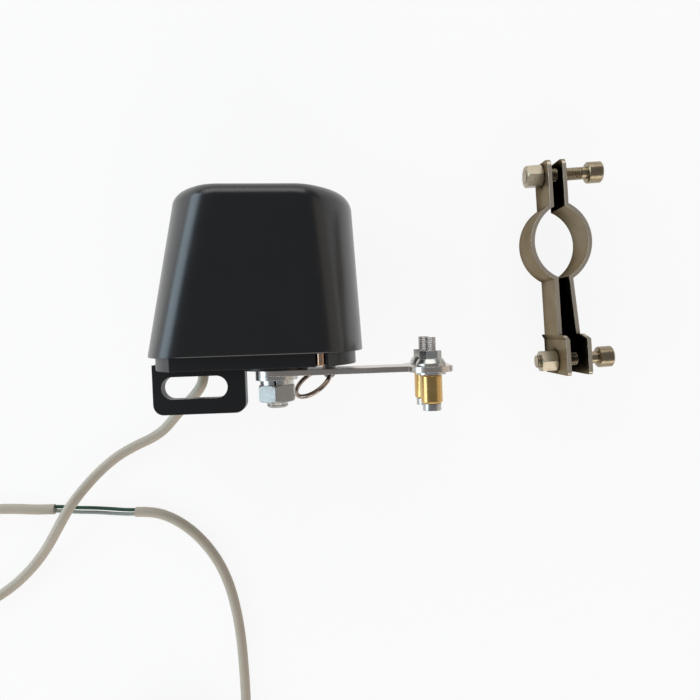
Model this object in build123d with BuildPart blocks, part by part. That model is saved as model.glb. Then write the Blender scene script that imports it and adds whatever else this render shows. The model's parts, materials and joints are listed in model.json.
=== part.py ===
from build123d import *
from math import atan2, cos, degrees, hypot, pi, radians, sin, sqrt, tan
import os

# Ball valve actuator with its lever arm, fork, pull ring, low voltage lead and pipe clamp, all in mm.
# It lies on its flat back, as it would on a bench. X runs along the lever arm, Y along the output
# shaft towards the roof, Z up from the bench. X = 0 is the shaft's line and Z = 0 the bench.
# Heights along the shaft are measured from the underside of the base tray, at base_y.

# Frame
half_depth = 28.3
shaft_z = half_depth
base_y = -30.0

# Housing: a tapered round shell with a flat front and back
skirt_height = 4.7
skirt_radius = 40.1
skirt_centre = -7.0
roof_height = 63.8
roof_radius = 32.1
roof_centre = -2.0
roof_slant = 2.4
edge_round = 4.5
shell_wall = 2.5
post_radius = 2.7
post_clearance = 0.3
screw_radius = 1.5
pilot_radius = 1.25
screw_grip = 9.0
screw_head_radius = 2.7
screw_head_height = 1.7

# Base tray with its slotted tab
tray_radius = 37.4
tray_flat = 25.6
tray_wall = 2.4
tray_floor = 3.0
tray_lap = 3.0
tray_fit = 0.2
gasket_height = 1.0
gasket_width = 1.8
boss_drop = 1.8
boss_radius = 12.0
tab_left = -46.5
tab_width = 34.9
tab_drop = 17.5
tab_thick = 6.0
tab_corner = 4.0
stop_inset = 1.3
stop_spot = (17.7, stop_inset - tray_flat)
stop_radius = 1.5
stop_block = 6.0
slot_length = 25.0
slot_width = 8.5
slot_from_left = 3.2
slot_from_top = 3.2

# Output shaft, its bush and seal
shaft_radius = 5.0
running_gap = 0.05
bush_radius = 7.0
bush_top = 5.0
bush_flange_radius = 8.5
bush_flange_height = 1.2
journal_radius = 3.0
stud_radius = 4.0
stud_end = 16.2
stud_across_flats = 6.4

# Lever arm and the stack on the shaft's stud
arm_gap = 0.15
arm_thick = 2.1
arm_width = 16.0
arm_reach = 57.8
fork_half_spacing = 9.5
fork_slot_play = 3.0
washer_radius = 8.0
washer_height = 1.6
spring_washer_radius = 6.4
spring_washer_height = 1.8
nut_across_flats = 13.0
nut_height = 6.5

# Fork posts under the arm's cross bar
post_bolt_radius = 2.0
roller_radius = 4.0
roller_length = 10.6
roller_chamfer = 0.6
roller_end_gap = 0.1
fork_washer_radius = 5.5
fork_washer_height = 1.0
fork_head_radius = 3.4
fork_head_height = 2.5
flange_radius = 5.5
flange_height = 1.6
flange_nut_height = 4.6
flange_nut_across_flats = 7.0
fork_bolt_tip = 8.6

# Gear train: module, teeth and face of each wheel
output_module = 0.8
output_teeth = 45
output_face = 5.0
output_gear_level = 16.0
pinion_teeth = 12
middle_module = 0.6
middle_teeth = 40
middle_face = 2.6
middle_level = 10.0
first_module = 0.5
first_teeth = 40
first_face = 2.5
first_level = 22.0
motor_teeth = 10
axle_radius = 1.5
clutch_direction = 166.8
idler_direction = 261.6
motor_direction = 55.0
hub_radius = 2.6

# Clutch: pull pin, yoke, spring and ring
pin_spot = (20.0, 15.0)
pin_radius = 2.0
yoke_level = 8.6
yoke_thick = 1.0
yoke_width = 8.0
knob_radius = 2.8
knob_gap = 0.3
knob_height = 1.3
eye_drop = 4.4
eye_radius = 1.5
tongue_thick = 1.2
tongue_width = 5.2
ring_radius = 8.0
ring_wire = 0.95
ring_dip = 32.0
ring_twist = 24.0
spring_radius = 3.1
spring_wire = 0.35

# Gear plate, motor, limit switches and control board
plate_level = 26.0
plate_thick = 2.0
plate_radius = 31.0
plate_flat = 22.0
plate_centre = -6.0
pillar_radius = 2.3
plate_screw_radius = 1.2
plate_screw_grip = 6.0
lug_height = 3.0
motor_radius = 12.2
motor_length = 28.0
motor_cap_height = 2.6
motor_boss_radius = 3.5
motor_shaft_radius = 1.15
motor_shaft_seat = 4.4
cam_radius = 6.6
cam_lobe = 1.6
cam_height = 3.4
switch_length = 12.8
switch_width = 5.8
switch_height = 3.9
lever_thick = 0.6
lever_half_length = 5.6
lever_pin_radius = 0.5
lever_gap = 0.2
switch_gap = 1.0
switch_lug_height = 1.2
board_x = 3.0
board_thick = 1.6
board_width = 34.0
board_height = 25.0

# Lead
cord_radius = 2.1
core_radius = 0.75
gland_spot = (-31.0, 16.3)
gland_radius = 4.6
gland_neck = 3.6
gland_drop = 2.2
core_spacing = 0.9
coil_centre = (-51.5, -206.0)
coil_mean = 23.0
coil_pitch = 4.7
coil_lift = 0.6
coil_turns = 2.5
plug_run = 23.0
tie_width = 4.0
tie_thick = 0.5
plug_radius = 5.5
plug_length = 24.0
plug_barrel_radius = 2.75
plug_barrel_length = 9.5
plug_bore_radius = 1.05

# Pipe clamp: two stamped strips, two bolts, two nuts
clamp_x = 112.9
clamp_height = 44.0
clamp_turn = 2.2
strip_thick = 1.5
strip_width = 17.0
ring_outer = 17.0
ring_half_width = 12.05
ear_gap = 4.3
ear_margin = 4.9
leg_bottom = -36.6
plate_start = -38.6
plate_bottom = -52.6
right_leg_face = 3.6
strip_corner = 3.0
plate_corner = 1.5
plate_width = 27.0
left_plate_face = -0.9
right_plate_face = 5.9
clamp_bolt_radius = 2.5
clamp_bolt_play = 0.3
clamp_head_radius = 4.25
clamp_head_height = 6.0
clamp_bolt_start = -10.5
clamp_head_start = 14.4
clamp_nut_across_flats = 8.0
clamp_nut_height = 6.6
clamp_socket = 4.0
clamp_socket_depth = 3.0
top_bolt_height = 27.6
ear_top = top_bolt_height + ear_margin
low_bolt_height = -47.0

# Worked out from the sizes above
rim_y = base_y + skirt_height
tray_top = skirt_height + tray_lap
arm_top = -boss_drop - arm_gap
arm_bottom = arm_top - arm_thick
washer_bottom = arm_bottom - washer_height
spring_washer_bottom = washer_bottom - spring_washer_height
nut_bottom = spring_washer_bottom - nut_height
tooth_share = 0.80
post_spots = ((25.0, 0.0), (-38.5, 0.0), (9.0, 20.2), (9.0, -20.2))
pillar_spots = ((17.0, -15.5), (-10.0, 19.5), (-12.0, -19.5))


def level(height):
    """Plane square to the shaft at a height above the tray's underside; its y runs towards the bench."""
    return Plane(origin=(0, base_y + height, shaft_z), x_dir=(1, 0, 0), z_dir=(0, 1, 0))


def roof_plane(height):
    """Slanted plane of the roof, higher on the tab's side."""
    slant = radians(roof_slant)
    return Plane(
        origin=(roof_centre, base_y + height, shaft_z),
        x_dir=(cos(slant), -sin(slant), 0),
        z_dir=(sin(slant), cos(slant), 0),
    )


def polar(centre, radius, angle):
    """Point at a distance and angle in degrees from a centre."""
    return (centre[0] + radius * cos(radians(angle)), centre[1] + radius * sin(radians(angle)))


def flatted_disc(radius, half_flat, centre):
    """Disc with two flats, drawn in the sketch that is open."""
    with Locations((centre, 0)):
        Circle(radius)
        Rectangle(2 * radius + 2, 2 * half_flat, mode=Mode.INTERSECT)


def gear_sketch(module, teeth, phase, centre, bore):
    """Spur gear outline with one tooth at the given angle, drawn in the sketch that is open."""
    pitch_radius = module * teeth / 2
    root_radius = pitch_radius - 1.15 * module
    tip_radius = pitch_radius + 0.85 * module
    half_pitch = tooth_share * pi * module / 4
    flank = tan(radians(20))
    half_root = half_pitch + 1.15 * module * flank
    half_tip = half_pitch - 0.85 * module * flank
    inner = root_radius - 0.3
    with Locations(centre):
        Circle(root_radius)
        with PolarLocations(0, teeth, start_angle=phase):
            Polygon(
                (inner, -half_root), (root_radius, -half_root), (tip_radius, -half_tip),
                (tip_radius, half_tip), (root_radius, half_root), (inner, half_root),
                align=None,
            )
        Circle(bore, mode=Mode.SUBTRACT)


def mesh_phase(direction, teeth, other_phase, other_teeth):
    """Angle of a tooth so that a gear meshes with its neighbour, which lies back along direction."""
    return direction + 180 + 180 / teeth - (other_phase - direction) * other_teeth / teeth


def finish(builder, name):
    """Label a finished piece and write it out."""
    builder.part.label = name
    export_step(builder.part, f"parts/{name}.step")


def rings(name, spots, low, height, outer, inner):
    """Plain ring, or a group of like ones, written out."""
    with BuildPart() as piece:
        with BuildSketch(level(low)):
            with Locations(*spots):
                Circle(outer)
                Circle(inner, mode=Mode.SUBTRACT)
        extrude(amount=height)
    finish(piece, name)


def screws(name, spots, head, head_radius, shank, shank_radius):
    """Group of round headed screws; head and shank are each a low and a high level."""
    with BuildPart() as piece:
        for (low, high), radius in ((head, head_radius), (shank, shank_radius)):
            with BuildSketch(level(low)):
                with Locations(*spots):
                    Circle(radius)
            extrude(amount=high - low)
    finish(piece, name)


def hex_nut(name, plane, across_flats, height, bore):
    """Hexagon nut whose corners are turned away at both faces."""
    corner = across_flats / sqrt(3)
    with BuildPart() as nut:
        with BuildSketch(plane):
            Circle(corner)
        extrude(amount=height)
        chamfer(nut.edges().filter_by(GeomType.CIRCLE), length=0.075 * across_flats)
        with BuildSketch(plane):
            RegularPolygon(across_flats / 2, 6, major_radius=False)
        extrude(amount=height, mode=Mode.INTERSECT)
        with BuildSketch(plane):
            Circle(bore)
        extrude(amount=height, mode=Mode.SUBTRACT)
    finish(nut, name)


os.makedirs("parts", exist_ok=True)

# Gear centres and tooth phases, in the plane square to the shaft
clutch_distance = output_module * (output_teeth + pinion_teeth) / 2
idler_distance = middle_module * (middle_teeth + pinion_teeth) / 2
motor_distance = first_module * (first_teeth + motor_teeth) / 2
clutch_spot = polar((0, 0), clutch_distance, clutch_direction)
idler_spot = polar(clutch_spot, idler_distance, idler_direction)
motor_spot = polar(idler_spot, motor_distance, motor_direction)
clutch_phase = mesh_phase(clutch_direction, pinion_teeth, 0, output_teeth)
idler_phase = mesh_phase(idler_direction, pinion_teeth, 0, middle_teeth)
motor_phase = mesh_phase(motor_direction, motor_teeth, 0, first_teeth)

# Housing shell: lofted dome, clipped by the flat front and back, hollow, with screw posts
with BuildPart() as dome:
    with BuildSketch(level(skirt_height)):
        with Locations((skirt_centre, 0)):
            Circle(skirt_radius)
    with BuildSketch(roof_plane(roof_height)):
        Circle(roof_radius)
    loft()
    with BuildSketch(Plane.XY):
        Rectangle(6 * skirt_radius, 6 * skirt_radius)
    extrude(amount=2 * half_depth, mode=Mode.INTERSECT)
    facet_edges = dome.faces().filter_by(Axis.Z).edges().filter_by(
        lambda edge: rim_y + 1 < edge.center().Y < base_y + roof_height - edge_round
    )
    roof_edges = dome.faces().sort_by(Axis.Y)[-1].edges()
    fillet(facet_edges + roof_edges, radius=edge_round)

with BuildPart() as cavity:
    with BuildSketch(level(tray_top)):
        with Locations((skirt_centre, 0)):
            Circle(tray_radius - gasket_width)
    with BuildSketch(roof_plane(roof_height - shell_wall)):
        Circle(roof_radius - shell_wall)
    loft()
    with BuildSketch(Plane.XY.offset(half_depth - tray_flat + gasket_width)):
        Rectangle(6 * skirt_radius, 6 * skirt_radius)
    extrude(amount=2 * (tray_flat - gasket_width), mode=Mode.INTERSECT)
    with BuildSketch(level(tray_floor)):
        with Locations(*post_spots):
            Circle(post_radius)
    extrude(amount=roof_height, mode=Mode.SUBTRACT)

with BuildPart() as housing_shell:
    add(dome.part)
    add(cavity.part, mode=Mode.SUBTRACT)
    with BuildSketch(level(skirt_height)):
        flatted_disc(tray_radius + tray_fit, tray_flat + tray_fit, skirt_centre)
        with Locations(*post_spots):
            Circle(post_radius, mode=Mode.SUBTRACT)
    extrude(amount=tray_lap, mode=Mode.SUBTRACT)
    with BuildSketch(level(tray_floor)):
        with Locations(*post_spots):
            Circle(post_radius)
    extrude(amount=skirt_height - tray_floor)
    with BuildSketch(level(tray_floor)):
        with Locations(*post_spots):
            Circle(pilot_radius)
    extrude(amount=screw_grip, mode=Mode.SUBTRACT)
finish(housing_shell, "housing_shell")

# Gasket: flat ring between the tray's wall and the ledge inside the shell
with BuildPart() as gasket:
    with BuildSketch(level(tray_top - gasket_height)):
        flatted_disc(tray_radius, tray_flat, skirt_centre)
    extrude(amount=gasket_height)
    with BuildSketch(level(tray_top - gasket_height)):
        flatted_disc(tray_radius - gasket_width, tray_flat - gasket_width, skirt_centre)
    extrude(amount=gasket_height, mode=Mode.SUBTRACT)
finish(gasket, "gasket")

# Base tray: shallow cup with the shaft's boss, the slotted tab and a notch for the brass stop post
with BuildPart() as base_tray:
    with BuildSketch(level(0)):
        flatted_disc(tray_radius, tray_flat, skirt_centre)
    extrude(amount=tray_top - gasket_height)
    with BuildSketch(level(tray_floor)):
        flatted_disc(tray_radius - tray_wall, tray_flat - tray_wall, skirt_centre)
        with Locations((stop_spot[0], -tray_flat)):
            Rectangle(2 * stop_block, 2 * stop_block, mode=Mode.SUBTRACT)
    extrude(amount=tray_top, mode=Mode.SUBTRACT)
    with BuildSketch(level(-boss_drop)):
        Circle(boss_radius)
    extrude(amount=boss_drop)
    with BuildSketch(Plane.XY.offset(shaft_z - tab_thick / 2)) as tab_outline:
        with Locations((tab_left, base_y - tab_drop)):
            Rectangle(tab_width, tab_drop + tray_floor / 2, align=Align.MIN)
        fillet(tab_outline.vertices().group_by(Axis.Y)[0], radius=tab_corner)
        with Locations((tab_left + slot_from_left + slot_length / 2, base_y - slot_from_top - slot_width / 2)):
            SlotOverall(slot_length, slot_width, mode=Mode.SUBTRACT)
    extrude(amount=tab_thick)
    with BuildSketch(level(tray_floor)):
        with Locations(idler_spot):
            Circle(hub_radius)
    extrude(amount=middle_level - tray_floor)
    with BuildSketch(level(tray_floor / 2)):
        with Locations(idler_spot, clutch_spot):
            Circle(axle_radius)
    extrude(amount=middle_level, mode=Mode.SUBTRACT)
    with BuildSketch(level(-boss_drop)):
        Circle(bush_radius)
        with Locations(gland_spot):
            Circle(gland_neck)
        with Locations(pin_spot):
            Circle(pin_radius + running_gap)
        with Locations(*post_spots):
            Circle(screw_radius)
    extrude(amount=boss_drop + tray_floor, mode=Mode.SUBTRACT)
    with BuildSketch(level(0)):
        with Locations(*post_spots):
            Circle(screw_head_radius)
    extrude(amount=screw_head_height, mode=Mode.SUBTRACT)
    with BuildSketch(level(0)):
        with Locations((stop_spot[0], -tray_flat)):
            Rectangle(stop_block * 0.6, stop_block)
    extrude(amount=skirt_height, mode=Mode.SUBTRACT)
    with BuildSketch(level(skirt_height)):
        with Locations(stop_spot):
            Circle(stop_radius)
    extrude(amount=gasket_height, mode=Mode.SUBTRACT)
finish(base_tray, "base_tray")

with BuildPart() as stop_post:
    with BuildSketch(level(0.3)):
        with Locations(stop_spot):
            Circle(stop_radius)
    extrude(amount=skirt_height + gasket_height - 0.3)
    chamfer(stop_post.faces().sort_by(Axis.Y)[0].edges(), length=0.3)
finish(stop_post, "stop_post")

# Housing screws up through the tray, the shaft's bush and its seal, and the lead's rubber gland
screws("housing_screws", post_spots, (0, screw_head_height), screw_head_radius - 0.1,
       (screw_head_height, tray_floor + screw_grip - 1), pilot_radius)

with BuildPart() as shaft_bush:
    for low, high, radius in ((0, bush_top, bush_radius),
                              (tray_floor, tray_floor + bush_flange_height, bush_flange_radius)):
        with BuildSketch(level(low)):
            Circle(radius)
        extrude(amount=high - low)
    with BuildSketch(level(0)):
        Circle(shaft_radius + running_gap)
    extrude(amount=bush_top, mode=Mode.SUBTRACT)
finish(shaft_bush, "shaft_bush")

rings("shaft_seal", [(0, 0)], -boss_drop, boss_drop, bush_radius, shaft_radius + running_gap)

with BuildPart() as cord_gland:
    for low, high, radius in ((-gland_drop, 0, gland_radius), (0, tray_floor, gland_neck),
                              (tray_floor, tray_floor + gland_drop / 2, gland_radius)):
        with BuildSketch(level(low)):
            with Locations(gland_spot):
                Circle(radius)
        extrude(amount=high - low)
    chamfer(cord_gland.faces().sort_by(Axis.Y)[0].edges(), length=0.8)
finish(cord_gland, "cord_gland")

# Output shaft: threaded stud, flats for the arm, journal in the bush, cam seat and top journal
shaft_shoulder = first_level + cam_height + 0.2
with BuildPart() as output_shaft:
    with BuildSketch(level(-stud_end)):
        Circle(stud_radius)
    extrude(amount=stud_end + arm_bottom)
    chamfer(output_shaft.faces().sort_by(Axis.Y)[0].edges(), length=0.6)
    with BuildSketch(level(arm_bottom)):
        Circle(stud_radius)
        Rectangle(3 * stud_radius, stud_across_flats, mode=Mode.INTERSECT)
    extrude(amount=arm_thick)
    with BuildSketch(level(arm_top)):
        Circle(shaft_radius)
    extrude(amount=shaft_shoulder - arm_top)
    with BuildSketch(level(shaft_shoulder)):
        Circle(journal_radius)
    extrude(amount=plate_level + plate_thick - shaft_shoulder)
finish(output_shaft, "output_shaft")

# Lever arm: steel strip with a cross bar whose two slots carry the fork posts
fork_spots = ((arm_reach, -fork_half_spacing), (arm_reach, fork_half_spacing))
with BuildPart() as lever_arm:
    with BuildSketch(level(arm_bottom)):
        Circle(arm_width / 2)
        with Locations((arm_reach / 2, 0)):
            Rectangle(arm_reach, arm_width)
        with Locations((arm_reach, 0)):
            SlotCenterToCenter(2 * fork_half_spacing, arm_width, rotation=90)
        with Locations(*fork_spots):
            SlotCenterToCenter(fork_slot_play, 2 * post_bolt_radius + 0.2, rotation=90, mode=Mode.SUBTRACT)
    extrude(amount=arm_thick)
    with BuildSketch(level(arm_bottom)):
        Circle(stud_radius)
        Rectangle(3 * stud_radius, stud_across_flats, mode=Mode.INTERSECT)
    extrude(amount=arm_thick, mode=Mode.SUBTRACT)
finish(lever_arm, "lever_arm")

rings("stud_washer", [(0, 0)], washer_bottom, washer_height, washer_radius, stud_radius)

with BuildPart() as spring_washer:
    with BuildSketch(level(spring_washer_bottom)):
        Circle(spring_washer_radius)
        Circle(stud_radius, mode=Mode.SUBTRACT)
        with Locations((0, -spring_washer_radius)):
            Rectangle(0.8, 2 * spring_washer_radius, rotation=20, mode=Mode.SUBTRACT)
    extrude(amount=spring_washer_height)
finish(spring_washer, "spring_washer")

hex_nut("stud_nut", level(nut_bottom), nut_across_flats, nut_height, stud_radius)

# Fork: two bolts up through brass rollers and the cross bar, with washers and flange nuts
roller_top = arm_bottom - fork_washer_height - roller_end_gap
roller_bottom = roller_top - roller_length
fork_head_top = roller_bottom - roller_end_gap
screws("fork_bolts", fork_spots, (fork_head_top - fork_head_height, fork_head_top), fork_head_radius,
       (fork_head_top, fork_bolt_tip), post_bolt_radius)
rings("fork_lower_washers", fork_spots, arm_bottom - fork_washer_height, fork_washer_height,
      fork_washer_radius, post_bolt_radius)
rings("fork_upper_washers", fork_spots, arm_top, fork_washer_height, fork_washer_radius, post_bolt_radius)

flange_low = arm_top + fork_washer_height
with BuildPart() as fork_nuts:
    with BuildSketch(level(flange_low)):
        with Locations(*fork_spots):
            RegularPolygon(flange_nut_across_flats / 2, 6, major_radius=False)
    extrude(amount=flange_nut_height)
    with BuildSketch(level(flange_low)):
        with Locations(*fork_spots):
            Circle(flange_radius)
    extrude(amount=flange_height, taper=30)
    with BuildSketch(level(flange_low)):
        with Locations(*fork_spots):
            Circle(post_bolt_radius)
    extrude(amount=flange_nut_height, mode=Mode.SUBTRACT)
finish(fork_nuts, "fork_nuts")

for roller_name, roller_spot in zip(("front_roller", "rear_roller"), fork_spots):
    with BuildPart() as roller:
        with BuildSketch(level(roller_bottom)):
            with Locations(roller_spot):
                Circle(roller_radius)
        extrude(amount=roller_length)
        chamfer(roller.edges().filter_by(GeomType.CIRCLE), length=roller_chamfer)
        with BuildSketch(level(roller_bottom)):
            with Locations(roller_spot):
                Circle(post_bolt_radius + running_gap)
        extrude(amount=roller_length, mode=Mode.SUBTRACT)
    finish(roller, roller_name)

# Gear train, from the output wheel back to the motor
with BuildPart() as output_gear:
    with BuildSketch(level(output_gear_level)):
        gear_sketch(output_module, output_teeth, 0, (0, 0), shaft_radius)
        with PolarLocations(output_module * output_teeth / 3.4, 5, start_angle=36):
            Circle(output_module * output_teeth / 11, mode=Mode.SUBTRACT)
    extrude(amount=output_face)
finish(output_gear, "output_gear")

pinion_top = output_gear_level + output_face + 0.2
collar_low = yoke_level - 0.1 - yoke_thick
axle_bore = axle_radius + running_gap
with BuildPart() as clutch_gear:
    with BuildSketch(level(middle_level)):
        gear_sketch(middle_module, middle_teeth, 0, clutch_spot, axle_bore)
    extrude(amount=middle_face)
    with BuildSketch(level(middle_level + middle_face)):
        gear_sketch(output_module, pinion_teeth, clutch_phase, clutch_spot, axle_bore)
    extrude(amount=pinion_top - middle_level - middle_face)
    for high, radius in ((collar_low + yoke_thick, 1.6 * hub_radius), (middle_level, hub_radius)):
        with BuildSketch(level(collar_low)):
            with Locations(clutch_spot):
                Circle(radius)
                Circle(axle_bore, mode=Mode.SUBTRACT)
        extrude(amount=high - collar_low)
finish(clutch_gear, "clutch_gear")

with BuildPart() as idler_gear:
    with BuildSketch(level(middle_level + 0.1)):
        gear_sketch(middle_module, pinion_teeth, idler_phase, idler_spot, axle_bore)
    extrude(amount=middle_face + 0.2)
    with BuildSketch(level(middle_level + middle_face)):
        with Locations(idler_spot):
            Circle(hub_radius)
            Circle(axle_bore, mode=Mode.SUBTRACT)
    extrude(amount=plate_level - 0.1 - middle_level - middle_face)
    with BuildSketch(level(first_level)):
        gear_sketch(first_module, first_teeth, 0, idler_spot, axle_bore)
    extrude(amount=first_face)
finish(idler_gear, "idler_gear")

with BuildPart() as motor_pinion:
    with BuildSketch(level(first_level - 0.2)):
        gear_sketch(first_module, motor_teeth, motor_phase, motor_spot, motor_shaft_radius)
    extrude(amount=first_face + 0.5)
finish(motor_pinion, "motor_pinion")

with BuildPart() as gear_axles:
    with BuildSketch(level(tray_floor / 2)):
        with Locations(clutch_spot, idler_spot):
            Circle(axle_radius)
    extrude(amount=plate_level + plate_thick - tray_floor / 2)
finish(gear_axles, "gear_axles")

# Gear plate on three pillars, with lugs that hold the control board
plate_top = plate_level + plate_thick
rings("plate_pillars", pillar_spots, tray_floor, plate_level - tray_floor, pillar_radius, plate_screw_radius)
with BuildPart() as gear_plate:
    with BuildSketch(level(plate_level)):
        flatted_disc(plate_radius, plate_flat, plate_centre)
        with Locations(*post_spots):
            Circle(post_radius + post_clearance, mode=Mode.SUBTRACT)
        with Locations(*pillar_spots):
            Circle(plate_screw_radius, mode=Mode.SUBTRACT)
        Circle(journal_radius + running_gap, mode=Mode.SUBTRACT)
        with Locations(clutch_spot, idler_spot):
            Circle(axle_radius, mode=Mode.SUBTRACT)
        with Locations(pin_spot):
            Circle(pin_radius + running_gap, mode=Mode.SUBTRACT)
        with Locations(motor_spot):
            Circle(motor_boss_radius, mode=Mode.SUBTRACT)
    extrude(amount=plate_thick)
    with BuildSketch(level(plate_top)):
        for lug_x in (board_x - 1.0, board_x + board_thick + 1.0):
            for side in (-1, 1):
                with Locations((lug_x, side * board_width / 3)):
                    Rectangle(2.0, 4.0)
    extrude(amount=lug_height)
finish(gear_plate, "gear_plate")
screws("plate_screws", pillar_spots, (plate_top, plate_top + 1.5), pillar_radius,
       (plate_level - plate_screw_grip, plate_top), plate_screw_radius)

# Motor: can, end cap with its two terminals, and the shaft that carries the pinion
with BuildPart() as motor_can:
    with BuildSketch(level(plate_top)):
        with Locations(motor_spot):
            Circle(motor_radius)
    extrude(amount=motor_length - motor_cap_height)
    with BuildSketch(level(plate_level + 0.2)):
        with Locations(motor_spot):
            Circle(motor_boss_radius)
    extrude(amount=plate_thick - 0.2)
    with BuildSketch(level(plate_level + 0.2)):
        with Locations(motor_spot):
            Circle(motor_shaft_radius + running_gap)
    extrude(amount=plate_thick + motor_shaft_seat + 1.6, mode=Mode.SUBTRACT)
finish(motor_can, "motor_can")

motor_cap_level = plate_top + motor_length - motor_cap_height
with BuildPart() as motor_cap:
    with BuildSketch(level(motor_cap_level)):
        with Locations(motor_spot):
            Circle(motor_radius - 0.6)
    extrude(amount=motor_cap_height)
    chamfer(motor_cap.faces().sort_by(Axis.Y)[-1].edges(), length=0.8)
    with BuildSketch(level(plate_top + motor_length)):
        with Locations(polar(motor_spot, motor_radius / 2, 90), polar(motor_spot, motor_radius / 2, 270)):
            Rectangle(2.4, 0.5)
    extrude(amount=2.0)
finish(motor_cap, "motor_cap")

with BuildPart() as motor_shaft:
    with BuildSketch(level(first_level - 0.6)):
        with Locations(motor_spot):
            Circle(motor_shaft_radius)
    extrude(amount=plate_top + motor_shaft_seat - first_level + 0.6)
finish(motor_shaft, "motor_shaft")

# Limit cam on the shaft, and two switches hung under the plate, each with a sprung lever
with BuildPart() as limit_cam:
    with BuildSketch(level(first_level)):
        Circle(cam_radius)
        with Locations(polar((0, 0), cam_radius - 0.6, 45)):
            Circle(cam_lobe + 0.6)
        Circle(shaft_radius, mode=Mode.SUBTRACT)
    extrude(amount=cam_height)
finish(limit_cam, "limit_cam")

lever_radius = cam_radius + cam_lobe + lever_gap + lever_thick / 2
switch_face = lever_radius + lever_thick / 2 + switch_gap
for side_name, angle in (("open", 45), ("closed", -45)):
    lower, upper = (
        Plane(
            origin=(0, base_y + height, shaft_z),
            x_dir=(cos(radians(angle)), 0, -sin(radians(angle))),
            z_dir=(0, 1, 0),
        )
        for height in (plate_level - switch_height, plate_level - switch_lug_height)
    )
    with BuildPart() as switch:
        with BuildSketch(lower):
            with Locations((switch_face + switch_width / 2, 0)):
                Rectangle(switch_width, switch_length)
        extrude(amount=switch_height)
        with BuildSketch(upper):
            with Locations((lever_radius + 0.3, lever_half_length)):
                Rectangle(2 * (switch_face - lever_radius - 0.3), 2.2)
            with Locations((lever_radius, lever_half_length)):
                Circle(lever_pin_radius + running_gap, mode=Mode.SUBTRACT)
        extrude(amount=switch_lug_height)
    finish(switch, f"{side_name}_switch")
    with BuildPart() as lever:
        with BuildSketch(lower):
            with Locations((lever_radius, 0)):
                Rectangle(lever_thick, 2 * lever_half_length)
        extrude(amount=switch_height - switch_lug_height - 0.2)
        with BuildSketch(lower):
            with Locations((lever_radius, lever_half_length)):
                Circle(lever_pin_radius)
        extrude(amount=switch_height - 0.1)
    finish(lever, f"{side_name}_switch_lever")

# Control board between the plate's lugs, with its relay, radio, capacitor and wire connector
board_face = Plane.YZ.offset(board_x + board_thick)
with BuildPart() as control_board:
    with BuildSketch(Plane.YZ.offset(board_x)):
        with Locations((base_y + plate_top + board_height / 2, shaft_z)):
            Rectangle(board_height, board_width)
    extrude(amount=board_thick)
finish(control_board, "control_board")

for block_name, (rise, across), (high, wide, deep) in (
    ("relay", (15.0, -9.0), (15.0, 12.0, 9.5)),
    ("radio_module", (17.0, 8.5), (14.0, 12.0, 2.6)),
    ("wire_connector", (6.7, 12.5), (6.0, 7.5, 6.5)),
):
    with BuildPart() as block:
        with BuildSketch(board_face):
            with Locations((base_y + plate_top + rise, shaft_z + across)):
                Rectangle(high, wide)
        extrude(amount=deep)
        chamfer(block.faces().sort_by(Axis.X)[-1].edges(), length=0.4)
    finish(block, block_name)

with BuildPart() as capacitor:
    with BuildSketch(board_face):
        with Locations((base_y + plate_top + 5.2, shaft_z + 1.5)):
            Circle(3.2)
    extrude(amount=8.0)
    chamfer(capacitor.faces().sort_by(Axis.X)[-1].edges(), length=0.5)
finish(capacitor, "capacitor")

# Clutch: pull pin with its knob and eye, the yoke that carries the clutch gear, and its spring
with BuildPart() as pull_pin:
    with BuildSketch(level(-knob_gap)):
        with Locations(pin_spot):
            Circle(pin_radius)
    extrude(amount=plate_top + 2 + knob_gap)
    with BuildSketch(level(-knob_gap - knob_height)):
        with Locations(pin_spot):
            Circle(knob_radius)
    extrude(amount=knob_height)
    with BuildSketch(Plane.XY.offset(shaft_z - pin_spot[1] - tongue_thick / 2)):
        with Locations((pin_spot[0], base_y - eye_drop)):
            Circle(tongue_width / 2)
        with Locations((pin_spot[0], base_y - (eye_drop + knob_gap + knob_height / 2) / 2)):
            Rectangle(tongue_width, eye_drop - knob_gap - knob_height / 2)
    extrude(amount=tongue_thick)
    with BuildSketch(Plane.XY.offset(shaft_z - pin_spot[1] - tongue_thick)):
        with Locations((pin_spot[0], base_y - eye_drop)):
            Circle(eye_radius)
    extrude(amount=2 * tongue_thick, mode=Mode.SUBTRACT)
finish(pull_pin, "pull_pin")

yoke_run = (clutch_spot[0] - pin_spot[0], clutch_spot[1] - pin_spot[1])
yoke_middle = ((clutch_spot[0] + pin_spot[0]) / 2, (clutch_spot[1] + pin_spot[1]) / 2)
with BuildPart() as clutch_yoke:
    with BuildSketch(level(yoke_level)):
        with Locations(yoke_middle):
            SlotCenterToCenter(hypot(*yoke_run), yoke_width, rotation=degrees(atan2(yoke_run[1], yoke_run[0])))
        with Locations(pin_spot):
            Circle(pin_radius, mode=Mode.SUBTRACT)
        with Locations(clutch_spot):
            Circle(hub_radius + 2 * running_gap, mode=Mode.SUBTRACT)
    extrude(amount=yoke_thick)
finish(clutch_yoke, "clutch_yoke")

rings("clutch_spring", [pin_spot], tray_floor, yoke_level - tray_floor, spring_radius + spring_wire,
      spring_radius - spring_wire)

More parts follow.
